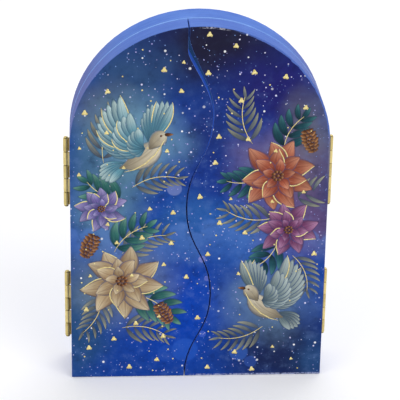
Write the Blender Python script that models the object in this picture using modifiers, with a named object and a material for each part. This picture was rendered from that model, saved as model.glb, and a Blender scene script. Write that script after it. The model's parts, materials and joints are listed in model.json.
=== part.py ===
"""Wooden triptych, closed: an arched back board and two arched doors that meet along an S-shaped saw cut.

Each door hangs on two brass butt hinges let into the wood, and carries a paper print on its face.
The print is a night sky with gold stars, doves, blossoms, leaves and cones, each a raised field of colour.
Metres, +Z up, -Y towards the viewer. The origin is on the floor, under the middle of the closed triptych.
"""

import math
import random

import bmesh
import bpy
from mathutils import Matrix, Vector

MM = 0.001

# Boards
WIDTH = 143.0 * MM
HEIGHT = 210.5 * MM
ARCH_RISE = 69.0 * MM
BACK_THICKNESS = 17.0 * MM
DOOR_THICKNESS = 14.4 * MM
JOINT_GAP = 0.6 * MM
FLOOR_GAP = 0.3 * MM
ARRIS_ROUND = 0.3 * MM

# S-shaped cut between the doors, from the floor up; it gapes a little at its last bend
SAW_KERF = 0.6 * MM
SWAY = 7.1 * MM
STRAIGHT_TOP = 10.5 * MM
TOP_GAPE = 3.5 * MM
SWAY_SHARES = (0.257, 0.269, 0.276, 0.198)
SWAY_EASE = 0.47
TOP_EASES = (0.36, 0.15)

# Paper prints; the ink's fields rise in even steps to the height of the relief
PAPER_THICKNESS = 0.17 * MM
PAPER_INSET = 0.15 * MM
SEAT_GAP = 0.3 * MM
INK_RELIEF = 0.13 * MM
INK_BITE = 0.06 * MM
INK_MARGIN = 0.2 * MM

# Butt hinges
HINGE_LENGTH = 40.0 * MM
LOWER_HINGE_RISE = 20.0 * MM
KNUCKLES = 5
KNUCKLE_PLAY = 0.3 * MM
BARREL_RADIUS = 1.5 * MM
BARREL_GAP = 0.6 * MM
KNUCKLE_EDGE = 0.2 * MM
LEAF_THICKNESS = 0.8 * MM
LEAF_IN_WOOD = 11.0 * MM
PIN_RADIUS = 0.7 * MM
PIN_PLAY = 0.3 * MM
PIN_HEAD_RADIUS = 1.2 * MM
PIN_HEAD_HEIGHT = 0.5 * MM
PIN_HEAD_CHAMFER = 0.25 * MM

# Nails through the hinge leaves
NAIL_LENGTH = 8.0 * MM
NAIL_RADIUS = 0.6 * MM
NAIL_HEAD_RADIUS = 1.3 * MM
NAIL_POINT = 1.5 * MM
NAIL_SPACING = 24.0 * MM
NAIL_FROM_LEAF_EDGE = 4.5 * MM
NAIL_PLAY = 0.3 * MM

# What is printed on each door, from the lowest field up:
# motif, colour, share of the half width, share of the height, size, turn in degrees
PRINTED = {
    "left": (
        ("bank", "bright_blue", 0.0, 0.420, 78.0 * MM, -4),
        ("sprig", "green", -0.58, 0.525, 30.0 * MM, 152),
        ("sprig", "green", -0.66, 0.375, 31.0 * MM, 40),
        ("sprig", "green", -0.52, 0.250, 34.0 * MM, -34),
        ("cone", "brown", -0.85, 0.395, 8.5 * MM, 66),
        ("cone", "brown", -0.27, 0.195, 8.0 * MM, 120),
        ("blossom", "lilac", -0.76, 0.500, 14.5 * MM, 10),
        ("blossom", "beige", -0.60, 0.290, 23.0 * MM, 0),
        ("dove", "teal", -0.46, 0.655, 33.0 * MM, 14),
    ),
    "right": (
        ("bank", "bright_blue", 0.0, 0.420, 78.0 * MM, -4),
        ("sprig", "green", 0.64, 0.660, 29.0 * MM, 62),
        ("sprig", "green", 0.50, 0.590, 27.0 * MM, 188),
        ("sprig", "green", 0.62, 0.400, 28.0 * MM, 228),
        ("cone", "brown", 0.84, 0.690, 8.0 * MM, 108),
        ("blossom", "terracotta", 0.60, 0.590, 22.5 * MM, 20),
        ("blossom", "mauve", 0.70, 0.435, 17.5 * MM, 5),
        ("dove", "grey", 0.54, 0.215, 30.0 * MM, 16),
    ),
}
DOVE_COLOUR = "cream"
BRACTS = 8
HEART_SHARE = 0.2
SPRIG_PAIRS = 3
BANK_LOBES = 7
STARS = 34
STAR_SIZE = 1.6 * MM
STAR_SPACING = 15.0 * MM
STAR_MARGIN = 4.0 * MM
STAR_SEED = 7
STAR_TRIES = 4000

# Facets
ARC_STEPS = 10
ARCH_SEGMENTS = 4
BARREL_SIDES = 12
NAIL_SIDES = 8
OVAL_SIDES = 12
HEART_SIDES = 8
LOBE_STEPS = 4
CUT_MARGIN = 2.0 * MM
WELD_DISTANCE = 0.001 * MM
ARRIS_STEPS = 1
FLAT_ANGLE = math.radians(0.05)
SMOOTH_ANGLE = math.radians(35)

# Derived places
HALF_WIDTH = WIDTH / 2
SPRING_HEIGHT = HEIGHT - ARCH_RISE
TOTAL_DEPTH = INK_RELIEF + PAPER_THICKNESS + SEAT_GAP + DOOR_THICKNESS + JOINT_GAP + BACK_THICKNESS
PAPER_FACE_Y = INK_RELIEF - TOTAL_DEPTH / 2
DOOR_FRONT_Y = PAPER_FACE_Y + PAPER_THICKNESS + SEAT_GAP
DOOR_BACK_Y = DOOR_FRONT_Y + DOOR_THICKNESS
JOINT_Y = DOOR_BACK_Y + JOINT_GAP / 2
BACK_FRONT_Y = DOOR_BACK_Y + JOINT_GAP
AXIS_OUT = BARREL_RADIUS + BARREL_GAP
AXIS_X = HALF_WIDTH + AXIS_OUT
BORE_RADIUS = PIN_RADIUS + PIN_PLAY
LEAF_REACH = AXIS_OUT + LEAF_IN_WOOD
HALF_HINGE = HINGE_LENGTH / 2
HINGE_MIDDLES = {"lower": LOWER_HINGE_RISE + HALF_HINGE, "upper": SPRING_HEIGHT - HALF_HINGE}
LEAF_FACE_Y = JOINT_GAP / 2
NAIL_X = LEAF_REACH - NAIL_FROM_LEAF_EDGE
SIDES = {"left": -1, "right": 1}

PARTS = "nativity_triptych"
CUTTERS = "cutters"


def clear_scene():
    for obj in list(bpy.data.objects):
        bpy.data.objects.remove(obj)
    for name in (PARTS, CUTTERS):
        bpy.context.scene.collection.children.link(bpy.data.collections.new(name))


def link(obj, collection):
    bpy.data.collections[collection].objects.link(obj)
    return obj


def material(name, colour, roughness, metallic=0.0):
    mat = bpy.data.materials.new(name)
    mat.use_nodes = True
    shader = mat.node_tree.nodes["Principled BSDF"]
    shader.inputs["Base Color"].default_value = (*colour, 1.0)
    shader.inputs["Roughness"].default_value = roughness
    shader.inputs["Metallic"].default_value = metallic
    mat.diffuse_color = (*colour, 1.0)
    return mat


def painted_wood():
    return material("blue_paint", (0.12, 0.22, 0.66), 0.6)


def printed_paper():
    return material("night_sky_print", (0.03, 0.05, 0.26), 0.4)


def printing_inks():
    """One material for each printed colour."""
    colours = {
        "bright_blue": (0.03, 0.10, 0.44),
        "green": (0.07, 0.24, 0.21),
        "brown": (0.22, 0.09, 0.04),
        "teal": (0.30, 0.52, 0.58),
        "grey": (0.28, 0.34, 0.35),
        "lilac": (0.26, 0.22, 0.50),
        "beige": (0.55, 0.46, 0.32),
        "terracotta": (0.47, 0.15, 0.09),
        "mauve": (0.30, 0.11, 0.24),
        "cream": (0.66, 0.60, 0.48),
    }
    inks = {name: material(name + "_ink", colour, 0.45) for name, colour in colours.items()}
    inks["gold"] = material("gold_foil", (0.80, 0.62, 0.28), 0.38, metallic=0.75)
    return inks


def hinge_brass():
    return material("hinge_brass", (0.72, 0.52, 0.20), 0.3, metallic=1.0)


def nail_brass():
    return material("nail_brass", (0.60, 0.42, 0.16), 0.35, metallic=1.0)


def finish_round(mesh):
    mesh.shade_smooth()
    mesh.set_sharp_from_angle(angle=SMOOTH_ANGLE)


# Flat outlines in the upright XZ plane

def straight_handles(knots):
    """Fill in each missing handle at a third of the way to the neighbouring knot."""
    filled = []
    for index, (point, before, after) in enumerate(knots):
        previous = knots[index - 1][0]
        following = knots[(index + 1) % len(knots)][0]
        before = before or point.lerp(previous, 1 / 3)
        after = after or point.lerp(following, 1 / 3)
        filled.append((point, before, after))
    return filled


def flat_curve(name, thickness):
    curve = bpy.data.curves.new(name + "_outline", "CURVE")
    curve.dimensions = "2D"
    curve.fill_mode = "BOTH"
    curve.extrude = thickness / 2
    curve.resolution_u = ARC_STEPS
    return curve


def add_bezier(curve, knots):
    spline = curve.splines.new("BEZIER")
    spline.use_cyclic_u = True
    spline.bezier_points.add(len(knots) - 1)
    for bezier, (point, before, after) in zip(spline.bezier_points, straight_handles(knots)):
        bezier.handle_left_type = "FREE"
        bezier.handle_right_type = "FREE"
        bezier.co = point.to_3d()
        bezier.handle_left = before.to_3d()
        bezier.handle_right = after.to_3d()


def add_polygon(curve, points):
    spline = curve.splines.new("POLY")
    spline.use_cyclic_u = True
    spline.points.add(len(points) - 1)
    for corner, point in zip(spline.points, points):
        corner.co = (point.x, point.y, 0, 1)


def stand_up(curve, name, y_front, thickness):
    """Turn a flat curve upright, with its front at y_front, and make it a mesh object."""
    holder = link(bpy.data.objects.new(name + "_outline", curve), PARTS)
    upright = Matrix.Rotation(math.pi / 2, 4, "X")
    holder.matrix_world = Matrix.Translation((0, y_front + thickness / 2, 0)) @ upright
    return curve_to_mesh(holder, name)


def outline_solid(name, knots, y_front, thickness):
    """Extrude a closed Bezier outline of (x, z) knots from y_front backwards."""
    curve = flat_curve(name, thickness)
    add_bezier(curve, knots)
    return stand_up(curve, name, y_front, thickness)


def polygon_solids(name, outlines, y_front, thickness):
    """Extrude closed (x, z) polygons that don't touch each other from y_front backwards."""
    curve = flat_curve(name, thickness)
    for points in outlines:
        add_polygon(curve, points)
    return stand_up(curve, name, y_front, thickness)


def curve_to_mesh(holder, name):
    bpy.context.view_layer.update()
    evaluated = holder.evaluated_get(bpy.context.evaluated_depsgraph_get())
    mesh = bpy.data.meshes.new_from_object(evaluated)
    mesh.transform(holder.matrix_world)
    bm = bmesh.new()
    bm.from_mesh(mesh)
    bmesh.ops.remove_doubles(bm, verts=bm.verts, dist=WELD_DISTANCE)
    bmesh.ops.dissolve_limit(bm, angle_limit=FLAT_ANGLE, verts=bm.verts, edges=bm.edges)
    bmesh.ops.recalc_face_normals(bm, faces=bm.faces)
    bm.to_mesh(mesh)
    bm.free()
    mesh.name = name
    bpy.data.objects.remove(holder)
    return link(bpy.data.objects.new(name, mesh), PARTS)


def ellipse_arc(half_width, rise, start, end, segments):
    """Bezier knots of an arc about the spring line in equal segments, with no handle on its outer sides."""
    step = (end - start) / segments
    grip = 4 / 3 * math.tan(step / 4)
    knots = []
    for index in range(segments + 1):
        angle = start + index * step
        point = Vector((half_width * math.cos(angle), SPRING_HEIGHT + rise * math.sin(angle)))
        reach = grip * Vector((-half_width * math.sin(angle), rise * math.cos(angle)))
        before = point - reach if index > 0 else None
        after = point + reach if index < segments else None
        knots.append((point, before, after))
    return knots


def back_outline():
    corners = [(Vector((-HALF_WIDTH, 0)), None, None), (Vector((HALF_WIDTH, 0)), None, None)]
    return corners + ellipse_arc(HALF_WIDTH, ARCH_RISE, 0, math.pi, ARCH_SEGMENTS)


def split_turns(side, base):
    """Heights at which one door's cut edge turns; its last bend is raised or lowered by the gape."""
    run = HEIGHT - STRAIGHT_TOP - base
    heights = [base]
    for share in SWAY_SHARES:
        heights.append(heights[-1] + share * run)
    heights[-1] += side * TOP_GAPE
    return heights


def split_knots(side, shift, base):
    """The S-shaped cut from the floor up, moved sideways by shift; it swings between -SWAY and +SWAY."""
    heights = split_turns(side, base)
    turns = [Vector((shift + (SWAY if index % 2 else -SWAY), height)) for index, height in enumerate(heights)]
    eases = [(SWAY_EASE, SWAY_EASE)] * (len(turns) - 2) + [TOP_EASES]
    befores = [None]
    afters = []
    for low, high, (leave, arrive) in zip(turns, turns[1:], eases):
        rise = Vector((0, high.y - low.y))
        afters.append(low + leave * rise)
        befores.append(high - arrive * rise)
    return list(zip(turns, befores, afters + [None]))


def door_outline(side, inset):
    """One door's outline, kept inside its own edges by inset."""
    half_width = HALF_WIDTH - inset
    rise = ARCH_RISE - inset
    base = FLOOR_GAP + inset
    shift = side * (SAW_KERF / 2 + inset)
    meeting = math.acos((shift - SWAY) / half_width)
    spring = 0 if side > 0 else math.pi
    split = split_knots(side, shift, base)
    arc = ellipse_arc(half_width, rise, meeting, spring, ARCH_SEGMENTS // 2)
    return split + arc + [(Vector((side * half_width, base)), None, None)]


# Small solids about upright or level axes

def cylinder_mesh(name, radius, bottom, top, sides, edge=0.0):
    bm = bmesh.new()
    height = top - bottom
    bmesh.ops.create_cone(bm, cap_ends=True, segments=sides, radius1=radius, radius2=radius, depth=height)
    if edge:
        rims = [e for e in bm.edges if abs(e.verts[0].co.z - e.verts[1].co.z) < WELD_DISTANCE]
        bmesh.ops.bevel(bm, geom=rims, offset=edge, segments=1, affect="EDGES")
    bmesh.ops.translate(bm, verts=bm.verts, vec=(0, 0, (bottom + top) / 2))
    mesh = bpy.data.meshes.new(name)
    bm.to_mesh(mesh)
    bm.free()
    return mesh


def box_mesh(name, low, high):
    size = Vector(high) - Vector(low)
    bm = bmesh.new()
    bmesh.ops.create_cube(bm, size=1.0)
    bmesh.ops.scale(bm, verts=bm.verts, vec=size)
    bmesh.ops.translate(bm, verts=bm.verts, vec=(Vector(high) + Vector(low)) / 2)
    mesh = bpy.data.meshes.new(name)
    bm.to_mesh(mesh)
    bm.free()
    return mesh


def turned_object(name, profile, sides, collection):
    """Turn a profile of (radius, height) points, given from the top down, about the local Z axis."""
    mesh = bpy.data.meshes.new(name)
    bm = bmesh.new()
    verts = [bm.verts.new((radius, 0, height)) for radius, height in profile]
    for upper, lower in zip(verts, verts[1:]):
        bm.edges.new((upper, lower))
    bm.to_mesh(mesh)
    bm.free()
    obj = link(bpy.data.objects.new(name, mesh), collection)
    screw = obj.modifiers.new("turn", "SCREW")
    screw.steps = sides
    screw.render_steps = sides
    screw.use_merge_vertices = True
    screw.merge_threshold = WELD_DISTANCE
    screw.use_smooth_shade = True
    return obj


def add_boolean(obj, cutter, operation):
    modifier = obj.modifiers.new(cutter.name, "BOOLEAN")
    modifier.operation = operation
    modifier.object = cutter
    modifier.solver = "EXACT"
    modifier.material_mode = "TRANSFER"


def as_cutter(obj):
    obj.hide_render = True
    obj.display_type = "WIRE"
    return obj


def cutter_from(mesh, matrix):
    obj = as_cutter(link(bpy.data.objects.new(mesh.name, mesh), CUTTERS))
    obj.matrix_world = matrix
    return obj


# Hinges: a leaf's own frame has the pin axis on Z, the leaf along +X and its mid-height at the origin

def knuckle_spans(own):
    """Heights of one leaf's knuckles; own is 0 for the outer set and 1 for the set between them."""
    pitch = HINGE_LENGTH / KNUCKLES
    spans = []
    for index in range(own, KNUCKLES, 2):
        bottom = index * pitch - HALF_HINGE
        top = bottom + pitch
        if index > 0:
            bottom += KNUCKLE_PLAY / 2
        if index < KNUCKLES - 1:
            top -= KNUCKLE_PLAY / 2
        spans.append((bottom, top))
    return spans


def leaf_outline(own):
    """Comb-shaped leaf: it reaches the pin axis at its own knuckles, and stops at the wood elsewhere."""
    points = [(LEAF_REACH, -HALF_HINGE), (LEAF_REACH, HALF_HINGE), (AXIS_OUT, HALF_HINGE)]
    for bottom, top in reversed(knuckle_spans(own)):
        points += [(AXIS_OUT, top), (0, top), (0, bottom), (AXIS_OUT, bottom)]
    points.append((AXIS_OUT, -HALF_HINGE))
    knots = []
    for point in points:
        corner = Vector(point)
        if not knots or (corner - knots[-1][0]).length > WELD_DISTANCE:
            knots.append((corner, None, None))
    return knots


def nail_profile(play, above):
    """Countersunk nail from its head down, wider by play, with its head carried up by above."""
    head = NAIL_HEAD_RADIUS + play
    shank = NAIL_RADIUS + play
    sink = NAIL_HEAD_RADIUS - NAIL_RADIUS
    top = [(0, above), (head, above)] if above else [(0, 0)]
    below = [(head, 0), (shank, -sink), (shank, NAIL_POINT - NAIL_LENGTH), (0, -NAIL_LENGTH - play)]
    return top + below


def nail_places():
    """Each nail's frame within the leaf's frame: its head is flush with the face towards the joint."""
    facing_joint = Matrix.Rotation(math.pi / 2, 4, "X")
    for height in (-NAIL_SPACING / 2, NAIL_SPACING / 2):
        yield Matrix.Translation((NAIL_X, LEAF_FACE_Y, height)) @ facing_joint


def leaf_place(side, on_back, middle):
    """Place of a leaf to the left or right of the triptych, and behind or in front of the joint."""
    turns = {
        (-1, True): Matrix.Identity(4),
        (1, True): Matrix.Rotation(math.pi, 4, "Y"),
        (-1, False): Matrix.Rotation(math.pi, 4, "X"),
        (1, False): Matrix.Rotation(math.pi, 4, "Z"),
    }
    return Matrix.Translation((side * AXIS_X, JOINT_Y, middle)) @ turns[side, on_back]


def hinge_leaf(name, own, place, brass):
    leaf = outline_solid(name, leaf_outline(own), LEAF_FACE_Y, LEAF_THICKNESS)
    leaf.matrix_world = place
    for bottom, top in knuckle_spans(own):
        mesh = cylinder_mesh(name + "_knuckle", BARREL_RADIUS, bottom, top, BARREL_SIDES, KNUCKLE_EDGE)
        add_boolean(leaf, cutter_from(mesh, place), "UNION")
    ends = HALF_HINGE + CUT_MARGIN
    bore = cylinder_mesh(name + "_bore", BORE_RADIUS, -ends, ends, BARREL_SIDES)
    add_boolean(leaf, cutter_from(bore, place), "DIFFERENCE")
    leaf.data.materials.append(brass)
    return leaf


def hinge_pin(name, place, brass):
    under_head = HALF_HINGE + KNUCKLE_PLAY
    head_top = under_head + PIN_HEAD_HEIGHT
    upper = [
        (0, head_top),
        (PIN_HEAD_RADIUS - PIN_HEAD_CHAMFER, head_top),
        (PIN_HEAD_RADIUS, head_top - PIN_HEAD_CHAMFER),
        (PIN_HEAD_RADIUS, under_head),
        (PIN_RADIUS, under_head),
    ]
    lower = [(radius, -height) for radius, height in reversed(upper)]
    pin = turned_object(name, upper + lower, BARREL_SIDES, PARTS)
    pin.matrix_world = place
    pin.data.materials.append(brass)
    return pin


def leaf_pocket(name, place):
    """Mortise for one leaf, open towards the joint and at the board's side."""
    low = (AXIS_OUT - CUT_MARGIN, 0, -HALF_HINGE - SEAT_GAP)
    high = (LEAF_REACH + SEAT_GAP, LEAF_FACE_Y + LEAF_THICKNESS + SEAT_GAP, HALF_HINGE + SEAT_GAP)
    return cutter_from(box_mesh(name + "_pocket", low, high), place)


def fit_leaf(name, side, on_back, middle, board, brass, nail_metal):
    """Make one leaf with its nails, and cut its seat and nail holes in the board; return leaf and nails."""
    place = leaf_place(side, on_back, middle)
    leaf = hinge_leaf(name, 0 if on_back else 1, place, brass)
    add_boolean(board, leaf_pocket(name, place), "DIFFERENCE")
    pieces = [leaf]
    hole_profile = nail_profile(NAIL_PLAY, CUT_MARGIN)
    for index, nail_place in enumerate(nail_places(), start=1):
        hole = as_cutter(turned_object(f"{name}_hole_{index}", hole_profile, NAIL_SIDES, CUTTERS))
        hole.matrix_world = place @ nail_place
        add_boolean(leaf, hole, "DIFFERENCE")
        add_boolean(board, hole, "DIFFERENCE")
        nail = turned_object(f"{name}_nail_{index}", nail_profile(0, 0), NAIL_SIDES, PARTS)
        nail.matrix_world = place @ nail_place
        nail.data.materials.append(nail_metal)
        pieces.append(nail)
    finish_round(leaf.data)
    return pieces


# Boards and prints

def board(name, outline, y_front, thickness, paint):
    panel = outline_solid(name, outline, y_front, thickness)
    arris = panel.modifiers.new("arris", "BEVEL")
    arris.width = ARRIS_ROUND
    arris.segments = ARRIS_STEPS
    arris.limit_method = "ANGLE"
    arris.angle_limit = SMOOTH_ANGLE
    finish_round(panel.data)
    panel.data.materials.append(paint)
    return panel


def polar(length, degrees):
    angle = math.radians(degrees)
    return Vector((length * math.cos(angle), length * math.sin(angle)))


def rosette():
    """Pointed bracts round a middle, 1 from middle to tip."""
    profile = ((0.0, 0.52), (0.24, 0.80), (0.5, 1.0), (0.76, 0.80))
    pitch = 360 / BRACTS
    return [polar(reach, pitch * (index + step)) for index in range(BRACTS) for step, reach in profile]


def feather_fan(root, start, pitch, reaches):
    """Blunt feathers fanned from a root, pitch degrees apart, with a notch between neighbours."""
    root = Vector(root)
    points = [root]
    for index, reach in enumerate(reaches):
        degrees = start + pitch * index
        if index > 0:
            points.append(root + polar(0.86 * reach, degrees - pitch / 2))
        points.append(root + polar(0.97 * reach, degrees - pitch / 4))
        points.append(root + polar(reach, degrees + pitch / 6))
    return points


def near_wing():
    """A raised wing, about 1 from shoulder to tip, with its feathers shorter and shorter towards the tail."""
    return feather_fan((0.14, 0.10), 100, 11, [1 - 0.012 * step ** 2 for step in range(7)])


def far_wing():
    return feather_fan((0.24, 0.14), 50, 11, [0.8 - 0.012 * step ** 2 for step in range(4)])


def dove_tail():
    return feather_fan((-0.23, -0.10), 178, 13, [0.5 - 0.02 * abs(step - 1.5) for step in range(4)])


def dove_body():
    """A plump leaf shape from the tail to the bill, as a belly line and a back line."""
    belly = [(-0.42, -0.17), (-0.24, -0.25), (0.02, -0.22), (0.24, -0.10), (0.42, 0.08), (0.50, 0.17)]
    back = [(0.62, 0.19), (0.50, 0.27), (0.38, 0.28), (0.24, 0.20), (0.02, 0.08), (-0.22, -0.06)]
    return [Vector(point) for point in belly + back]


def leafy_sprig():
    """Pairs of pointed leaves along a stem of length 1, with one more leaf at its end."""
    upper = []
    for pair in range(SPRIG_PAIRS):
        foot = Vector(((pair + 0.4) / (SPRIG_PAIRS + 1), 0.02))
        reach = 0.40 * (1 - 0.35 * foot.x)
        half = 0.55 * reach
        upper += [foot, foot + polar(half, 68), foot + polar(reach, 48), foot + polar(half, 26)]
    upper += [Vector((0.80, 0.02)), Vector((0.89, 0.08))]
    lower = [Vector((point.x, -point.y)) for point in upper]
    return [Vector((0, 0))] + lower + [Vector((1, 0))] + upper[::-1]


def oval(width, height, sides):
    rim = [polar(1, 360 * index / sides) for index in range(sides)]
    return [Vector((width * point.x, height * point.y)) for point in rim]


def foil_star():
    """A three-pointed fleck, one point upwards."""
    return [polar(1, 90 + 120 * index) for index in range(3)]


def cloud_bank():
    """A bank as wide as 2, its crest a row of round lobes and its foot well below the sheet."""
    pitch = 2 / BANK_LOBES
    crest = []
    for lobe in range(BANK_LOBES):
        for step in range(LOBE_STEPS):
            across = step / LOBE_STEPS
            crest.append(Vector((-1 + pitch * (lobe + across), 0.4 * pitch * math.sin(math.pi * across))))
    return [Vector((-1, -2)), Vector((1, -2)), Vector((1, 0))] + crest[::-1]


def motif_fields(motif, colour):
    """(colour, outline) of each field of a motif whose size is 1, from the lowest to the top one."""
    if motif == "dove":
        feathers = [(colour, dove_tail()), (colour, far_wing()), (colour, near_wing())]
        return feathers + [(DOVE_COLOUR, dove_body())]
    outlines = {
        "bank": cloud_bank(),
        "sprig": leafy_sprig(),
        "cone": oval(1.0, 0.66, OVAL_SIDES),
        "blossom": rosette(),
    }
    return [(colour, outlines[motif])]


def placed(points, centre, size, turn=0, mirror=1):
    """Points of a motif turned, sized and moved to its place; mirror is -1 for a mirrored one."""
    spin = Matrix.Rotation(math.radians(turn), 2)
    turned = [spin @ point for point in points]
    return [centre + size * Vector((mirror * point.x, point.y)) for point in turned]


def print_place(width_share, height_share):
    return Vector((width_share * HALF_WIDTH, height_share * HEIGHT))


def motif_discs():
    """Middle and radius of a disc about each blossom, dove and cone, for the stars to keep clear of."""
    discs = []
    for rows in PRINTED.values():
        for motif, colour, width_share, height_share, size, turn in rows:
            if motif in ("blossom", "dove", "cone"):
                discs.append((print_place(width_share, height_share), size))
    return discs


def split_middle(height):
    """Sideways place of the cut at a height, read as a smooth swing from turn to turn."""
    turns = split_turns(0, FLOOR_GAP)
    for index, (low, high) in enumerate(zip(turns, turns[1:])):
        if height <= high:
            swing = SWAY if index % 2 else -SWAY
            return swing * math.cos(math.pi * max(height - low, 0) / (high - low))
    return -SWAY


def on_print(spot):
    """True if a star's middle keeps its margin to the board's edges and to the cut."""
    if spot.y < STAR_MARGIN or abs(spot.x - split_middle(spot.y)) < STAR_MARGIN:
        return False
    above = max(spot.y - SPRING_HEIGHT, 0)
    across = spot.x / (HALF_WIDTH - STAR_MARGIN)
    return across ** 2 + (above / (ARCH_RISE - STAR_MARGIN)) ** 2 < 1


def star_places():
    """Seeded places of the stars, spaced out and clear of the motifs."""
    chance = random.Random(STAR_SEED)
    discs = motif_discs()
    places = []
    for attempt in range(STAR_TRIES):
        spot = Vector((chance.uniform(-1, 1) * HALF_WIDTH, chance.uniform(0, 1) * HEIGHT))
        free = all((spot - other).length > STAR_SPACING for other in places)
        clear = all((spot - middle).length > radius + 2 * STAR_SIZE for middle, radius in discs)
        if on_print(spot) and free and clear:
            places.append(spot)
        if len(places) == STARS:
            break
    return places


def printed_fields(hand, side):
    """(colour, outlines) of one door's fields in the order of printing; the gold goes on last."""
    fields = []
    gold = []
    for motif, colour, width_share, height_share, size, turn in PRINTED[hand]:
        middle = print_place(width_share, height_share)
        mirror = -side if motif == "dove" else 1
        for own_colour, outline in motif_fields(motif, colour):
            fields.append((own_colour, [placed(outline, middle, size, turn, mirror)]))
        if motif == "blossom":
            gold.append(placed(oval(HEART_SHARE, HEART_SHARE, HEART_SIDES), middle, size))
    for spot in star_places():
        if (spot.x > split_middle(spot.y)) == (side > 0):
            gold.append(placed(foil_star(), spot, STAR_SIZE))
    return fields + [("gold", gold)]


def print_area(name, side):
    """The part of the sheet that takes ink, as a block that reaches past every layer."""
    outline = door_outline(side, PAPER_INSET + INK_MARGIN)
    depth = INK_RELIEF + INK_BITE + 2 * CUT_MARGIN
    area = outline_solid(name + "_area", outline, PAPER_FACE_Y - INK_RELIEF - CUT_MARGIN, depth)
    bpy.data.collections[PARTS].objects.unlink(area)
    return as_cutter(link(area, CUTTERS))


def door_print(name, hand, side, paper, inks):
    """A sheet with its printed fields on it, each a little prouder than the last and cut off at the edge."""
    sheet = outline_solid(name, door_outline(side, PAPER_INSET), PAPER_FACE_Y, PAPER_THICKNESS)
    sheet.data.materials.append(paper)
    area = print_area(name, side)
    fields = printed_fields(hand, side)
    for order, (colour, outlines) in enumerate(fields, start=1):
        rise = INK_RELIEF * order / len(fields)
        field = polygon_solids(f"{name}_{order}_{colour}", outlines, PAPER_FACE_Y - rise, rise + INK_BITE)
        field.data.materials.append(inks[colour])
        bpy.data.collections[PARTS].objects.unlink(field)
        add_boolean(field, area, "INTERSECT")
        add_boolean(sheet, as_cutter(link(field, CUTTERS)), "UNION")
    return sheet


def hang_on_axis(name, side, pieces):
    """Parent a door's pieces to an empty on its pin axis."""
    axis = link(bpy.data.objects.new(name, None), PARTS)
    axis.location = (side * AXIS_X, JOINT_Y, 0)
    bpy.context.view_layer.update()
    for piece in pieces:
        piece.parent = axis
        piece.matrix_parent_inverse = axis.matrix_world.inverted()


def build_triptych():
    clear_scene()
    paint = painted_wood()
    paper = printed_paper()
    inks = printing_inks()
    brass = hinge_brass()
    nail_metal = nail_brass()
    back = board("back_panel", back_outline(), BACK_FRONT_Y, BACK_THICKNESS, paint)
    for hand, side in SIDES.items():
        door = board(f"{hand}_door", door_outline(side, 0), DOOR_FRONT_Y, DOOR_THICKNESS, paint)
        moving = [door, door_print(f"{hand}_door_print", hand, side, paper, inks)]
        for level, middle in HINGE_MIDDLES.items():
            name = f"{hand}_{level}_hinge"
            fit_leaf(f"{name}_back_leaf", side, True, middle, back, brass, nail_metal)
            moving += fit_leaf(f"{name}_door_leaf", side, False, middle, door, brass, nail_metal)
            hinge_pin(f"{name}_pin", Matrix.Translation((side * AXIS_X, JOINT_Y, middle)), brass)
        hang_on_axis(f"{hand}_door_axis", side, moving)


build_triptych()
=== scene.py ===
"""Looks of the closed wooden triptych: blue brushed paint, brass hinges and a printed night sky.

The print is a generic one: doves, winter blossoms and fir cones among gold stars.
Metres in the row frame; sizes below are written in millimetres.
"""
import json
import math
import random

import bmesh
import bpy
from mathutils import Matrix, Vector


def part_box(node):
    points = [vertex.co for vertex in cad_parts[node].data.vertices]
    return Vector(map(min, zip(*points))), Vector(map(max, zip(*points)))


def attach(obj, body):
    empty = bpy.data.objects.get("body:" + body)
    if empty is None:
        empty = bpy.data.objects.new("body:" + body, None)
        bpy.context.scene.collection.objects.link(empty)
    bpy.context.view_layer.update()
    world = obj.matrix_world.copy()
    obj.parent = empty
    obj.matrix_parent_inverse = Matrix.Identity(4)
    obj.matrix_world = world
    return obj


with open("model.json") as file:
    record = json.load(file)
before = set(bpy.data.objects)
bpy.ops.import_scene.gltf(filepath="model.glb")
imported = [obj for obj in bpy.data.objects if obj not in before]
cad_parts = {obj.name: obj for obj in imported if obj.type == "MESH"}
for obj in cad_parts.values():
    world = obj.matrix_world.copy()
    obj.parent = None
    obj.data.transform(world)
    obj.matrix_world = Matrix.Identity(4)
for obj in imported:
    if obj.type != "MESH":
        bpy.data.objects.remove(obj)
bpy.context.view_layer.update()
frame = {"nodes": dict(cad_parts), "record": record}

MM = 0.001

# Camera, fitted to the photograph
CAMERA_AZIMUTH = -3.874
CAMERA_ELEVATION = 23.004
CAMERA_ROLL = 1.035
CAMERA_DISTANCE = 1070.6 * MM
CAMERA_TARGET = Vector((1.36, 0, 103.18)) * MM
CAMERA_LENS = 171.29
SENSOR_WIDTH = 36.0

# Light; each lamp has its place and size in metres and its power in watts
AMBIENT = 0.6
FLOOR_LIFT = 0.19
FLOOR_REACH = 4.0
FLOOR_COLOUR = (0.86, 0.86, 0.88, 1)
KEY = ((0.9, -1.3, 1.6), 1.2, 12)
FILL = ((-1.3, -1.2, 1.0), 1.2, 6)
BACK_LIGHT = ((0.3, 0.9, 1.6), 1.2, 9)

# Outline of the boards as in the CAD model, and its S-shaped cut without the gape at the top
HALF_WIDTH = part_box("back_panel")[1].x
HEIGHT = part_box("back_panel")[1].z
ARCH_RISE = 69.0 * MM
SPRING_HEIGHT = HEIGHT - ARCH_RISE
SPLIT_SWAY = 7.1 * MM
SPLIT_TURNS = tuple(MM * height for height in (0.3, 51.7, 105.5, 160.7, 200.0))
PRINT_FRONT_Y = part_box("left_door_print")[0].y
JOINT_Y = -1.0 * MM

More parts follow.
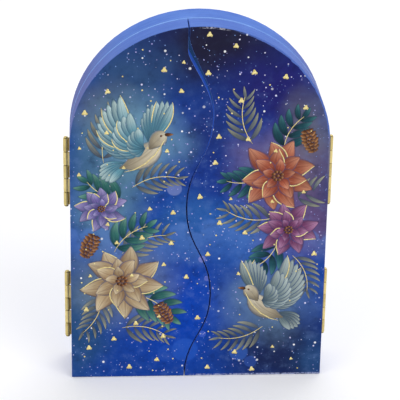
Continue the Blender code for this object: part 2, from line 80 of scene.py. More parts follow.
# What is printed on each door; the fronds are only here, the rest is in the CAD model's places:
# motif, colour, share of the half width, share of the height, size in mm, turn in degrees
PRINTED = {
    "left_door": (
        ("frond", "grey_beige", -0.52, 0.560, 26, 12),
        ("frond", "grey_beige", -0.74, 0.630, 30, 76),
        ("frond", "grey_beige", -0.76, 0.250, 26, 246),
        ("frond", "grey_beige", -0.60, 0.370, 27, 24),
        ("frond", "grey_beige", -0.60, 0.150, 26, -12),
        ("sprig", "sea_green", -0.58, 0.525, 30, 152),
        ("sprig", "sea_green", -0.66, 0.375, 31, 40),
        ("sprig", "sea_green", -0.52, 0.250, 34, -34),
        ("cone", "brown", -0.85, 0.395, 8.5, 66),
        ("cone", "brown", -0.27, 0.195, 8, 120),
        ("blossom", "lilac", -0.76, 0.500, 14.5, 10),
        ("blossom", "beige", -0.60, 0.290, 23, 0),
        ("dove", "pale_teal", -0.46, 0.655, 33, 14),
    ),
    "right_door": (
        ("frond", "grey_beige", 0.40, 0.680, 28, 100),
        ("frond", "grey_beige", 0.74, 0.520, 26, 12),
        ("frond", "grey_beige", 0.58, 0.470, 27, 170),
        ("frond", "grey_beige", 0.74, 0.360, 24, -68),
        ("frond", "grey_beige", 0.52, 0.150, 26, 196),
        ("sprig", "deep_leaf", 0.64, 0.660, 29, 62),
        ("sprig", "deep_leaf", 0.50, 0.590, 27, 188),
        ("sprig", "deep_leaf", 0.62, 0.400, 28, 228),
        ("cone", "brown", 0.84, 0.690, 8, 108),
        ("blossom", "terracotta", 0.60, 0.590, 22.5, 20),
        ("blossom", "mauve", 0.70, 0.435, 17.5, 5),
        ("dove", "grey_wing", 0.54, 0.215, 30, 16),
    ),
}
STARS = 34
STAR_SIZE = 1.6 * MM
STAR_SPACING = 15.0 * MM
STAR_MARGIN = 4.0 * MM
STAR_SEED = 7
STAR_TRIES = 4000
MOTIF_SEED = 11

# Size at which the dove's points are written, and the proportions of twigs
DOVE_SIZE = 30
LEAF_SHARE = 0.55
SPRIG_SHARE = 0.78
SPRIG_PAIRS = 4
FROND_PAIRS = 6
FROND_SLENDER = 0.2

# Inks; patches that touch lie a layer apart
INK_THICKNESS = 0.012 * MM
INK_LAYER = 0.002 * MM
INK_MARGIN = 0.4 * MM
PETAL_STEPS = 12
PETAL_STRIPS = 6
LINE_WIDTH = 0.62 * MM
SKY_SPECULAR = 0.08


def srgb(red, green, blue):
    """A colour written as on screen, 0 to 255, as the linear values that shaders take."""
    def linear(value):
        share = value / 255
        return share / 12.92 if share <= 0.04045 else ((share + 0.055) / 1.055) ** 2.4
    return (linear(red), linear(green), linear(blue), 1.0)


# Shader nodes

class Graph:
    """Adds nodes to one node tree and links whatever sockets it is given."""

    def __init__(self, tree):
        self.tree = tree

    def add(self, kind, inputs=None, **settings):
        node = self.tree.nodes.new("ShaderNode" + kind)
        for name, value in settings.items():
            setattr(node, name, value)
        for name, value in (inputs or {}).items():
            self.feed(node.inputs[name], value)
        return node

    def feed(self, socket, value):
        if isinstance(value, bpy.types.NodeSocket):
            self.tree.links.new(value, socket)
        else:
            socket.default_value = value

    def math(self, operation, *values):
        node = self.add("Math", operation=operation)
        for socket, value in zip(node.inputs, values):
            self.feed(socket, value)
        return node.outputs[0]

    def vector(self, operation, *values):
        node = self.add("VectorMath", operation=operation)
        for socket, value in zip(node.inputs, values):
            self.feed(socket, value)
        return node.outputs["Value" if operation == "LENGTH" else "Vector"]

    def split(self, vector):
        return self.add("SeparateXYZ", {"Vector": vector}).outputs

    def ease(self, value, start, end, low=0.0, high=1.0):
        """Smooth step of value from start to end, between low and high."""
        inputs = {"Value": value, "From Min": start, "From Max": end, "To Min": low, "To Max": high}
        return self.add("MapRange", inputs, interpolation_type="SMOOTHSTEP").outputs["Result"]

    def mix(self, share, below, above, blend="MIX"):
        node = self.add("Mix", data_type="RGBA", blend_type=blend)
        for index, value in ((0, share), (6, below), (7, above)):
            self.feed(node.inputs[index], value)
        return node.outputs[2]

    def noise(self, vector, scale, detail=3.0, roughness=0.55):
        inputs = {"Vector": vector, "Scale": scale, "Detail": detail, "Roughness": roughness}
        return self.add("TexNoise", inputs).outputs["Fac"]

    def cells(self, vector, scale):
        """Distance to the nearest point scattered over the plane, and that point's own random colour."""
        node = self.add("TexVoronoi", {"Vector": vector, "Scale": scale}, voronoi_dimensions="2D")
        return node.outputs["Distance"], node.outputs["Color"]

    def bump(self, height, strength, depth):
        inputs = {"Height": height, "Strength": strength, "Distance": depth}
        return self.add("Bump", inputs).outputs["Normal"]


def new_material(name, roughness, metallic=0.0):
    """A Principled material; returns it with its graph and shader."""
    material = bpy.data.materials.new(name)
    material.use_nodes = True
    shader = material.node_tree.nodes["Principled BSDF"]
    shader.inputs["Roughness"].default_value = roughness
    shader.inputs["Metallic"].default_value = metallic
    return material, Graph(material.node_tree), shader


# Night sky, shared by the sheets, the inner faces and the soft edges of the motifs

# Broad washes: centre x and z, radius x and z in mm, colour, strength
SKY_BASE = srgb(20, 66, 158)
SKY_WASHES = (
    ((8, 204), (76, 52), srgb(28, 27, 52), 1.0),
    ((42, 174), (44, 38), srgb(32, 30, 104), 0.95),
    ((-40, 180), (42, 34), srgb(48, 78, 116), 0.85),
    ((-50, 134), (40, 42), srgb(66, 104, 128), 0.8),
    ((4, 146), (30, 34), srgb(28, 46, 112), 0.85),
    ((2, 122), (26, 30), srgb(22, 52, 136), 0.75),
    ((-6, 96), (30, 26), srgb(44, 96, 168), 0.8),
    ((-12, 40), (40, 46), srgb(4, 66, 180), 0.95),
    ((-66, 40), (26, 62), srgb(40, 80, 122), 0.85),
    ((50, 14), (52, 42), srgb(26, 38, 78), 0.95),
    ((68, 112), (24, 52), srgb(66, 62, 100), 0.8),
    ((22, 92), (28, 28), srgb(38, 96, 176), 0.75),
    ((66, 12), (18, 18), srgb(40, 80, 132), 0.7),
)
# Haze about the motifs, teal and grey on the left, brown and violet on the right
SKY_GLOWS = (
    ((-54, 160), (26, 24), srgb(104, 112, 112), 0.45),
    ((60, 154), (24, 32), srgb(112, 110, 102), 0.62),
    ((-34, 146), (38, 34), srgb(120, 166, 186), 0.72),
    ((-54, 104), (30, 30), srgb(104, 146, 162), 0.7),
    ((-42, 60), (40, 38), srgb(130, 146, 148), 0.68),
    ((44, 128), (38, 34), srgb(134, 110, 118), 0.62),
    ((54, 96), (30, 32), srgb(112, 84, 126), 0.66),
    ((38, 48), (38, 36), srgb(112, 142, 164), 0.66),
)
# Crest of the brighter lower sky, at the CAD model's height and with lobes as wide
BANK_CREST = 0.42 * HEIGHT / MM
BANK_LOBE = 22.3
# Out-of-focus lights: centre x and z, radius in mm, colour, strength
SKY_DISCS = (
    ((-14, 117), 4.6, srgb(150, 164, 214), 0.4),
    ((-7, 17), 8.2, srgb(44, 98, 204), 0.5),
    ((-17, 15), 6.0, srgb(40, 88, 190), 0.35),
    ((24, 15), 5.8, srgb(60, 108, 204), 0.5),
    ((31, 9), 4.0, srgb(60, 100, 196), 0.4),
    ((2, 74), 2.3, srgb(150, 150, 220), 0.45),
    ((5, 62), 1.8, srgb(130, 140, 220), 0.4),
    ((3, 27), 2.2, srgb(80, 110, 214), 0.5),
)
# Round dots: spacing, largest radius in mm, share of places filled, colour
SKY_DOTS = (
    (2.9, 0.42, 0.40, srgb(126, 160, 224)),
    (4.1, 0.55, 0.50, srgb(176, 172, 232)),
    (6.6, 0.72, 0.55, srgb(214, 212, 244)),
    (11.0, 0.95, 0.60, srgb(246, 247, 250)),
)
WASH_WANDER = 12.0


def flat_distance(graph, place, centre, radii):
    """Distance from centre in the sky's own plane, as a share of the radii."""
    offset = graph.vector("SUBTRACT", place, (centre[0], centre[1], 0))
    scaled = graph.vector("MULTIPLY", offset, (1 / radii[0], 1 / radii[1], 0))
    return graph.vector("LENGTH", scaled)


def sky_dots(graph, place, spacing, largest, share):
    """How strongly a scattered round dot covers this place."""
    shifted = graph.vector("ADD", place, (37 * spacing, 53 * spacing, 0))
    distance, chance = graph.cells(shifted, 1 / spacing)
    red, green, blue = graph.add("SeparateColor", {"Color": chance}).outputs[:3]
    radius = graph.math("MULTIPLY_ADD", graph.math("POWER", green, 2), 0.55 * largest, 0.45 * largest)
    inside = graph.ease(graph.math("DIVIDE", distance, radius), 1.0 / spacing, 0.55 / spacing)
    crowd = graph.ease(graph.noise(place, 0.05, 1.0), 0.4, 0.62)
    shown = graph.math("LESS_THAN", red, graph.math("MULTIPLY_ADD", crowd, 0.75 * share, 0.25 * share))
    faintness = graph.ease(blue, 0.0, 0.8, 0.4, 1.0)
    return graph.math("MULTIPLY", graph.math("MULTIPLY", inside, shown), faintness)


def make_night_sky():
    """Node group that paints the sky by place on the object: washes, haze, soft lights and dots."""
    tree = bpy.data.node_groups.new("night_sky", "ShaderNodeTree")
    tree.interface.new_socket("Haze", in_out="INPUT", socket_type="NodeSocketFloat")
    tree.interface.new_socket("Color", in_out="OUTPUT", socket_type="NodeSocketColor")
    graph = Graph(tree)
    shown = tree.nodes.new("NodeGroupInput").outputs["Haze"]
    x, y, z = graph.split(graph.add("TexCoord").outputs["Object"])
    metres = graph.add("CombineXYZ", {"X": x, "Y": z}).outputs[0]
    place = graph.vector("MULTIPLY", metres, (1000, 1000, 0))
    drift = graph.add("TexNoise", {"Vector": place, "Scale": 0.04, "Detail": 4.0}).outputs["Color"]
    centred = graph.vector("SUBTRACT", drift, (0.5, 0.5, 0.5))
    wander = graph.vector("MULTIPLY", centred, (2 * WASH_WANDER,) * 3)
    wandered = graph.vector("ADD", place, wander)
    colour = SKY_BASE
    for centre, radii, tint, strength in SKY_WASHES:
        share = graph.ease(flat_distance(graph, wandered, centre, radii), 1.0, 0.15, 0.0, strength)
        colour = graph.mix(share, colour, tint)
    for centre, radii, tint, strength in SKY_GLOWS:
        share = graph.ease(flat_distance(graph, wandered, centre, radii), 1.0, 0.15, 0.0, strength)
        colour = graph.mix(graph.math("MULTIPLY", share, shown), colour, tint)
    across, up, unused = graph.split(wandered)
    lobe = graph.math("ABSOLUTE", graph.math("SINE", graph.math("MULTIPLY", across, math.pi / BANK_LOBE)))
    crest = graph.math("MULTIPLY_ADD", lobe, 0.3 * BANK_LOBE, BANK_CREST)
    below = graph.math("SUBTRACT", crest, up)
    haze = graph.math("MULTIPLY", graph.ease(below, -1.5, 1.5), graph.ease(below, 26.0, 0.0, 0.0, 0.42))
    colour = graph.mix(haze, colour, srgb(92, 132, 206))
    mottle = graph.noise(place, 0.13, 5.0, 0.65)
    spots = graph.ease(mottle, 0.48, 0.75, 0.0, 0.24)
    lit = graph.math("MULTIPLY", spots, graph.ease(up, 200.0, 130.0, 0.15, 1.0))
    colour = graph.mix(lit, colour, srgb(110, 142, 200))
    colour = graph.mix(graph.ease(mottle, 0.5, 0.25, 0.0, 0.4), colour, srgb(10, 16, 52))
    for centre, radius, tint, strength in SKY_DISCS:
        share = graph.ease(flat_distance(graph, place, centre, (radius, radius)), 1.0, 0.8, 0.0, strength)
        colour = graph.mix(share, colour, tint)
    for spacing, largest, share, tint in SKY_DOTS:
        colour = graph.mix(sky_dots(graph, place, spacing, largest, share), colour, tint)
    output = tree.nodes.new("NodeGroupOutput")
    tree.links.new(colour, output.inputs["Color"])
    return tree


def night_sky(graph, haze=1.0):
    node = graph.add("Group")
    node.node_tree = bpy.data.node_groups["night_sky"]
    node.inputs["Haze"].default_value = haze
    return node.outputs["Color"]


# Materials

def edge_share(graph):
    """1 on the outline of the boards and less inside, measured from the middle of the arch."""
    x, y, z = graph.split(graph.add("TexCoord").outputs["Object"])
    above = graph.math("MAXIMUM", graph.math("SUBTRACT", z, SPRING_HEIGHT), 0.0)
    across = graph.math("DIVIDE", x, HALF_WIDTH)
    up = graph.math("DIVIDE", above, ARCH_RISE)
    return graph.math("SQRT", graph.math("ADD", graph.math("POWER", across, 2), graph.math("POWER", up, 2)))


def make_blue_paint():
    """Matt blue paint brushed along the edges, with the night sky on the faces that meet at the joint;
    painted shade darkens the arch's rim down its sides, a painted highlight runs along the back panel's front
    arris, and a weak glow stands for light in the gaping cut.
    """
    material, graph, shader = new_material("brushed_blue_paint", 0.68)
    shader.inputs["Specular IOR Level"].default_value = 0.12
    texture = graph.add("TexCoord")
    place = texture.outputs["Object"]
    x, y, z = graph.split(place)
    facing = graph.math("ABSOLUTE", graph.split(texture.outputs["Normal"])[1])
    rim = edge_share(graph)
    along_edge = graph.noise(graph.vector("MULTIPLY", place, (40, 1500, 40)), 1.0, 5.0, 0.65)
    along_face = graph.noise(graph.vector("MULTIPLY", place, (1300, 60, 40)), 1.0, 4.0, 0.6)
    on_face = graph.ease(facing, 0.6, 0.9)
    streaks = graph.add("Mix", {0: on_face, 2: along_edge, 3: along_face}, data_type="FLOAT").outputs[0]
    cloud = graph.noise(place, 34.0, 3.0)
    colour = graph.mix(graph.ease(cloud, 0.35, 0.65), srgb(82, 120, 206), srgb(94, 134, 218))
    on_door = graph.math("LESS_THAN", y, JOINT_Y)
    colour = graph.mix(graph.math("MULTIPLY", on_door, 0.3), colour, srgb(92, 116, 196))
    # Painted shade: the arch's rim is darker and more violet down its sides than at its top, as the light
    # falls from above
    shaded_low_side = graph.ease(z, SPRING_HEIGHT + 0.93 * ARCH_RISE, SPRING_HEIGHT + 0.4 * ARCH_RISE)
    shaded_low_side = graph.math("MULTIPLY", shaded_low_side, graph.ease(facing, 0.9, 0.6))
    colour = graph.mix(graph.math("MULTIPLY", shaded_low_side, 0.85), colour, srgb(102, 110, 172))
    colour = graph.mix(graph.ease(streaks, 0.48, 0.25, 0.0, 0.55), colour, srgb(54, 78, 164))
    colour = graph.mix(graph.ease(streaks, 0.54, 0.78, 0.0, 0.45), colour, srgb(140, 168, 232))
    # Painted highlight: a pale line along the back panel's front arris at the joint, broken up along the edge
    arris_highlight = graph.ease(y, 0.6 * MM, 0.0)
    arris_highlight = graph.math("MULTIPLY", arris_highlight, graph.math("SUBTRACT", 1.0, on_door))
    arris_highlight = graph.math("MULTIPLY", arris_highlight, graph.ease(rim, 0.97, 0.98))
    arris_highlight = graph.math("MULTIPLY", arris_highlight, graph.ease(along_edge, 0.4, 0.6, 0.35, 0.9))
    colour = graph.mix(arris_highlight, colour, srgb(150, 192, 252))
    cut_wall = graph.math("MULTIPLY", graph.ease(rim, 0.9, 0.86), graph.ease(facing, 0.4, 0.2))
    colour = graph.mix(cut_wall, colour, srgb(62, 116, 214))
    near_joint = graph.math("LESS_THAN", graph.math("ABSOLUTE", graph.math("SUBTRACT", y, JOINT_Y)), 0.9 * MM)
    inner = graph.math("MULTIPLY", near_joint, graph.ease(rim, 0.965, 0.955))
    inner = graph.math("MULTIPLY", inner, graph.ease(z, 2.4 * MM, 3.0 * MM))
    colour = graph.mix(graph.math("MULTIPLY", inner, on_face), colour, night_sky(graph, haze=0.0))
    graph.feed(shader.inputs["Base Color"], colour)
    graph.feed(shader.inputs["Normal"], graph.bump(streaks, 0.3, 0.12 * MM))
    shader.inputs["Emission Color"].default_value = srgb(66, 112, 172)
    graph.feed(shader.inputs["Emission Strength"], gathered_light(graph, x, y, z))
    return material


def gathered_light(graph, x, y, z):
    """Weak glow in place of the light that gathers where the closed upper cut gapes; none once it opens."""
    open_share = graph.add("AmbientOcclusion", {"Distance": 8 * MM}).outputs["AO"]
    light = graph.ease(open_share, 0.5, 0.1, 0.0, 0.3)
    light = graph.math("MULTIPLY", light, graph.ease(z, 112 * MM, 156 * MM))
    light = graph.math("MULTIPLY", light, graph.ease(z, 203 * MM, 197 * MM))
    light = graph.math("MULTIPLY", light, graph.ease(y, -0.5 * MM, -0.7 * MM))
    return graph.math("MULTIPLY", light, graph.math("LESS_THAN", graph.math("ABSOLUTE", x), 10 * MM))


def make_printed_sheet():
    """Printed paper: the night sky, with ragged paint over its arched edge and pale wear in two places."""
    material, graph, shader = new_material("printed_night_sky", 0.38)
    shader.inputs["Specular IOR Level"].default_value = SKY_SPECULAR
    place = graph.add("TexCoord").outputs["Object"]
    x, y, z = graph.split(place)
    colour = night_sky(graph)
    ragged = graph.noise(place, 260.0, 4.0, 0.7)
    rim = edge_share(graph)
    painted = graph.ease(graph.math("MULTIPLY_ADD", ragged, 0.022, rim), 0.996, 1.0)
    painted = graph.math("MULTIPLY", painted, graph.ease(x, 14 * MM, 34 * MM))
    above_spring = graph.ease(z, SPRING_HEIGHT - 30 * MM, SPRING_HEIGHT)
    low_edge = graph.ease(z, SPRING_HEIGHT + 10 * MM, SPRING_HEIGHT)
    blue_edge = graph.mix(low_edge, srgb(84, 112, 190), srgb(116, 114, 136))
    colour = graph.mix(graph.math("MULTIPLY", painted, above_spring), colour, blue_edge)
    fleck = graph.noise(place, 700.0, 3.0, 0.7)
    worn_top = graph.math("MULTIPLY", graph.ease(rim, 0.981, 0.986), graph.ease(x, -2 * MM, 1 * MM))
    worn_top = graph.math("MULTIPLY", worn_top, graph.ease(x, 16 * MM, 10 * MM))
    worn_top = graph.math("MULTIPLY", worn_top, graph.ease(z, 190 * MM, 200 * MM))
    worn_top = graph.math("MULTIPLY", worn_top, graph.ease(fleck, 0.4, 0.6))
    colour = graph.mix(worn_top, colour, srgb(170, 170, 186))
    worn_foot = graph.math("MULTIPLY", graph.ease(z, 1.6 * MM, 1.1 * MM), graph.ease(x, -6 * MM, -2 * MM))
    worn_foot = graph.math("MULTIPLY", worn_foot, graph.ease(fleck, 0.35, 0.6))
    colour = graph.mix(worn_foot, colour, srgb(166, 174, 212))
    graph.feed(shader.inputs["Base Color"], colour)
    grain = graph.noise(place, 2600.0, 2.0)
    graph.feed(shader.inputs["Normal"], graph.bump(grain, 0.12, 0.03 * MM))
    return material


# Brass: its bright, dull and crevice colours, and its roughness; the crevice colour is painted shade
HINGE_BRASS = (srgb(216, 196, 126), srgb(184, 160, 94), srgb(76, 56, 26), 0.42)
# The door leaves' brass is a paler copy of the hinge brass: painted light on their knuckles, with only light
# painted shade in its crevices
LIT_DOOR_LEAF_BRASS = (srgb(232, 212, 142), srgb(206, 182, 112), srgb(186, 160, 96), 0.45)
NAIL_BRASS = (srgb(206, 168, 88), srgb(150, 112, 52), srgb(76, 56, 26), 0.4)


def make_brass(name, bright, dull, crevice_shade, roughness):
    """Pressed brass with fine rolling marks, dull where it has tarnished, and darker in its crevices by
    painted shade.
    """
    material, graph, shader = new_material(name, roughness, metallic=0.7)
    place = graph.add("TexCoord").outputs["Object"]
    tarnish = graph.noise(place, 260.0, 3.0, 0.6)
    marks = graph.noise(graph.vector("MULTIPLY", place, (4200, 4200, 500)), 1.0, 3.0)
    colour = graph.mix(graph.ease(tarnish, 0.45, 0.75, 0.0, 0.7), bright, dull)
    colour = graph.mix(graph.ease(marks, 0.58, 0.8, 0.0, 0.25), colour, dull)
    # Painted shade: the crevice colour where ambient occlusion finds the metal closed in
    open_share = graph.add("AmbientOcclusion", {"Distance": 1.2 * MM}).outputs["AO"]
    colour = graph.mix(graph.ease(open_share, 0.5, 0.1), colour, crevice_shade)
    graph.feed(shader.inputs["Base Color"], colour)
    graph.feed(shader.inputs["Normal"], graph.bump(marks, 0.12, 0.03 * MM))
    return material


def make_gold_foil():
    """Pale gold foil of the stars and lines, slightly uneven."""
    material, graph, shader = new_material("pale_gold_foil", 0.45, metallic=0.35)
    place = graph.add("TexCoord").outputs["Object"]
    uneven = graph.noise(place, 900.0, 3.0, 0.6)
    colour = graph.mix(graph.ease(uneven, 0.35, 0.7), srgb(240, 226, 158), srgb(216, 194, 120))
    graph.feed(shader.inputs["Base Color"], colour)
    graph.feed(shader.inputs["Normal"], graph.bump(uneven, 0.2, 0.03 * MM))
    return material


def make_ink(name, root, middle, tip, vein=0.35, soft=0.14):
    """Painted petal colour along its length, with brush strokes, a shaded half and edges that melt away."""
    material, graph, shader = new_material(name + "_ink", 0.45)
    shader.inputs["Specular IOR Level"].default_value = SKY_SPECULAR
    uv = graph.add("UVMap").outputs["UV"]
    along, across, unused = graph.split(uv)
    early = graph.mix(graph.ease(along, 0.05, 0.5), root, middle)
    colour = graph.mix(graph.ease(along, 0.45, 0.98), early, tip)
    own = graph.add("NewGeometry").outputs["Random Per Island"]
    shifted = graph.vector("ADD", uv, graph.add("CombineXYZ", {"X": own, "Y": own, "Z": own}).outputs[0])
    strokes = graph.noise(graph.vector("MULTIPLY", shifted, (3.0, 17.0, 9.0)), 1.0, 4.0, 0.6)
    colour = graph.mix(graph.ease(strokes, 0.5, 0.25, 0.0, 0.5), colour, root)
    colour = graph.mix(graph.ease(strokes, 0.52, 0.78, 0.0, 0.55), colour, tip)
    off_middle = graph.math("ABSOLUTE", graph.math("SUBTRACT", across, 0.5))
    colour = graph.mix(graph.ease(off_middle, 0.06, 0.01, 0.0, vein), colour, root)
    colour = graph.mix(graph.ease(across, 0.45, 1.0, 0.0, 0.6), colour, root)
    lightness = graph.math("MULTIPLY_ADD", own, 0.34, 0.78)
    grey = graph.add("CombineXYZ", {"X": lightness, "Y": lightness, "Z": lightness}).outputs[0]
    colour = graph.mix(1.0, colour, grey, blend="MULTIPLY")
    sides = graph.ease(off_middle, 0.5, 0.5 - soft)
    ends = graph.ease(along, 1.0, 1.0 - 0.5 * soft)
    worn = graph.ease(strokes, 0.2, 0.45, 0.6, 1.0)
    body = graph.math("MULTIPLY", graph.math("MULTIPLY", sides, ends), worn)
    behind = graph.mix(0.5, night_sky(graph), root)
    graph.feed(shader.inputs["Base Color"], graph.mix(body, behind, colour))
    return material


# Printed shapes: thin closed patches just in front of the sheets

class Stack:
    """Gives each patch of a door a level above all the patches that its own box touches."""

    def __init__(self):
        self.boxes = []

    def level(self, points):
        left, right = min(point.x for point in points), max(point.x for point in points)
        low, high = min(point.y for point in points), max(point.y for point in points)
        level = 0
        for other_left, other_right, other_low, other_high, other_level in self.boxes:
            if left < other_right and other_left < right and low < other_high and other_low < high:
                level = max(level, other_level + 1)
        self.boxes.append((left, right, low, high, level))
        return level


class Ink:
    """One printed colour on one door: patches gathered into one mesh piece."""

    def __init__(self, name, body, material, stack):
        self.name = name
        self.body = body
        self.material = material
        self.stack = stack
        self.bm = bmesh.new()
        self.uv = self.bm.loops.layers.uv.new("UVMap")

    def patch(self, rows):
        """A grid of (x, z) rows, from root to tip, left out if it would pass the edge of the door's sheet."""
        points = [point for row in rows for point in row]
        if not all(door_at(point) == self.body and on_print(point, INK_MARGIN) for point in points):
            return
        y = PRINT_FRONT_Y - INK_THICKNESS - self.stack.level(points) * INK_LAYER
        grid = [[self.bm.verts.new((point.x, y, point.y)) for point in row] for row in rows]
        steps = len(rows) - 1
        strips = len(rows[0]) - 1
        for i in range(steps):
            for j in range(strips):
                corners = [(i, j), (i, j + 1), (i + 1, j + 1), (i + 1, j)]
                face = self.bm.faces.new([grid[a][b] for a, b in corners])
                for loop, (a, b) in zip(face.loops, corners):
                    loop[self.uv].uv = (a / steps, b / strips)
                face.normal_update()
                if face.normal.y > 0:
                    face.normal_flip()

    def finish(self):
        mesh = bpy.data.meshes.new(self.name)
        self.bm.to_mesh(mesh)
        self.bm.free()
        mesh.shade_smooth()
        piece = bpy.data.objects.new(self.name, mesh)
        bpy.context.scene.collection.objects.link(piece)
        mesh.materials.append(self.material)
        shell = piece.modifiers.new("ink", "SOLIDIFY")
        shell.thickness = INK_THICKNESS
        shell.offset = -1
        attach(piece, self.body)


class Place:
    """Where a motif sits on the print: its centre, turn, size and hand."""

    def __init__(self, width_share, height_share, turn, size, hand):
        self.centre = print_place(width_share, height_share)
        self.turn = math.radians(turn)
        self.size = size
        self.hand = hand

    def point(self, x, z):
        """A point of the motif, in mm from its centre."""
        local = Vector((self.hand * x, z)) * self.size * MM
        local.rotate(Matrix.Rotation(self.hand * self.turn, 2))
        return self.centre + local


def print_place(width_share, height_share):
    return Vector((width_share * HALF_WIDTH, height_share * HEIGHT))


def bend_point(root, tip, bend, t):
    """Point at t along a spine that bows sideways by bend times its length."""
    across = Vector((root.y - tip.y, tip.x - root.x))
    return root.lerp(tip, t) + across * bend * 4 * t * (1 - t)


def petal_rows(root, tip, width, bend, belly, blunt):
    """Rows across a leaf shape; belly is where it is widest, and blunt rounds its tip."""
    rows = []
    peak = math.log(0.5) / math.log(belly)
    for i in range(PETAL_STEPS + 1):
        t = i / PETAL_STEPS
        here = bend_point(root, tip, bend, t)
        after = bend_point(root, tip, bend, min(t + 0.01, 1.0))
        ahead = after - bend_point(root, tip, bend, max(t - 0.01, 0.0))
        side = Vector((-ahead.y, ahead.x)).normalized()
        half = width / 2 * max(math.sin(math.pi * t ** peak), 0.0) ** blunt
        half = max(half, 0.02 * width)
        rows.append([here + side * half * (2 * j / PETAL_STRIPS - 1) for j in range(PETAL_STRIPS + 1)])
    return rows


def petal(ink, place, root, tip, width, bend=0.0, belly=0.5, blunt=0.8):
    """One painted leaf shape between two points of a motif; returns its right and left edges."""
    ends = place.point(*root), place.point(*tip)
    rows = petal_rows(*ends, width * place.size * MM, bend * place.hand, belly, blunt)
    ink.patch(rows)
    return [row[0] for row in rows], [row[-1] for row in rows]


def polar(centre, length, degrees):
    angle = math.radians(degrees)
    return (centre[0] + length * math.cos(angle), centre[1] + length * math.sin(angle))


class Foil(Ink):
    """Gold foil of one door, which also draws lines."""

    def line(self, points, width=LINE_WIDTH):
        """A brushed gold line along points, thin at both ends."""
        last = len(points) - 1
        rows = []
        for i, point in enumerate(points):
            ahead = points[min(i + 1, last)] - points[max(i - 1, 0)]
            side = Vector((-ahead.y, ahead.x)).normalized()
            half = width / 2 * (0.35 + 0.65 * math.sin(math.pi * i / last) ** 0.5)
            rows.append([point - side * half, point + side * half])
        self.patch(rows)


# Motifs, each printed from the back to the front

# Feathers of a near wing: number, length, width, first and last angle, feathers with a gold edge
WING_RINGS = (
    (11, 31, 5.6, 100, 172, (3, 6)),
    (9, 21, 5.4, 98, 178, (2, 5)),
    (7, 11.5, 5.0, 94, 186, ()),
)
BREAST_LINE = ((-10, -7.6), (-5, -7.6), (1, -5.9), (7, -2.4), (11, 1.4), (13.6, 4.4))


def near_wing(feathers, foil, place, root):
    """Three rings of feathers, the leading one on top, with a few gold edges."""
    for count, length, width, first, last, gilded in WING_RINGS:
        for index in reversed(range(count)):
            share = index / (count - 1)
            reach = length * (1 - 0.42 * share ** 2)
            tip = polar(root, reach, first + (last - first) * share)
            leading, trailing = petal(feathers, place, root, tip, width, 0.1, 0.66)
            if index in gilded:
                foil.line(trailing[5:])
            if index == 0 and length == WING_RINGS[0][1]:
                foil.line(leading[2:])


def far_wing(feathers, foil, place, root):
    for index in reversed(range(8)):
        tip = polar(root, 25 - 0.22 * index ** 2, 48 + index * 6)
        leading, trailing = petal(feathers, place, root, tip, 4.8, -0.08, 0.6)
        if index == 0:
            foil.line(leading[2:])
        if index == 3:
            foil.line(trailing[6:])


def dove(inks, feather_ink, foil, place):
    """A dove in flight, facing right before it is mirrored."""
    body, feathers, bill = inks["cream"], inks[feather_ink], inks["brown"]
    for index in range(6):
        tip = polar((-7, -3), 17 - abs(index - 2.5), 176 + index * 8)
        petal(feathers, place, (-7, -3), tip, 4.6, belly=0.62)
    far_wing(feathers, foil, place, (5, 4))
    petal(body, place, (-12, -5), (11, 4.5), 12.5, bend=-0.1, belly=0.6, blunt=0.7)
    petal(body, place, (5, 1), (15, 7.5), 8.4, bend=0.06, belly=0.62, blunt=0.5)
    petal(bill, place, (14, 6.8), (18.4, 5.9), 2.0, belly=0.35)
    petal(bill, place, (11.6, 6.6), (12.9, 6.7), 1.1, blunt=0.5)
    foil.line([place.point(*spot) for spot in BREAST_LINE])
    near_wing(feathers, foil, place, (3, 2))


def blossom(bracts, hearts, foil, place, rnd):
    """A winter blossom of pointed bracts in rings round a cluster of small buds."""
    for ring, (count, length, width) in enumerate(((9, 1.0, 0.5), (7, 0.7, 0.4), (5, 0.44, 0.27))):
        start = rnd.uniform(0, 360)
        for index in range(count):
            angle = start + 360 * index / count + rnd.uniform(-7, 7)
            reach = length * rnd.uniform(0.88, 1.06)
            root, tip = polar((0, 0), 0.04, angle), polar((0, 0), reach, angle)
            edge = petal(bracts, place, root, tip, width, rnd.uniform(-0.1, 0.1), 0.48, 0.95)[0]
            if (index + ring) % 2 == 0 and ring < 2:
                foil.line(edge[2:])
    for index in range(9):
        x, z = polar((0, 0), 0.0 if index == 0 else 0.11, index * 45)
        petal(hearts, place, (x - 0.05, z), (x + 0.05, z), 0.09, blunt=0.5)


def sprig(leaves, foil, place, length, pairs, leaf_length, slender=0.36):
    """A twig with pairs of leaves along it."""
    bend = 0.12
    for index in range(pairs):
        t = (index + 0.5) / pairs
        foot = (length * t, 4 * bend * length * t * (1 - t))
        size = leaf_length * (1 - 0.45 * t)
        for hand in (-1, 1):
            end = polar(foot, size, hand * 42 + 10 * (1 - 2 * t))
            petal(leaves, place, foot, end, size * slender, 0.08 * hand, 0.45)
    end = (length + leaf_length * 0.4, -0.3)
    petal(leaves, place, (length * 0.9, 0), end, leaf_length * slender * 0.6)
    root, tip = place.point(0, 0), place.point(length, 0)
    foil.line([bend_point(root, tip, bend * place.hand, i / 14) for i in range(15)], 0.7 * LINE_WIDTH)


def cone(scales, place, rows=7):
    """A fir cone along +X before it is turned: overlapping scales, wider in the middle."""
    for row in reversed(range(rows)):
        t = row / (rows - 1)
        spread = 0.58 * math.sin(math.pi * (0.18 + 0.72 * t)) ** 0.8
        count = 4 if row % 2 else 3
        for index in range(count):
            across = spread * (2 * (index + 0.5) / count - 1)
            root, tip = (0.85 - 1.5 * t, across * 0.55), (0.55 - 1.5 * t, across * 1.15)
            petal(scales, place, root, tip, 0.5, 0.0, 0.7, 0.55)


# Gold stars

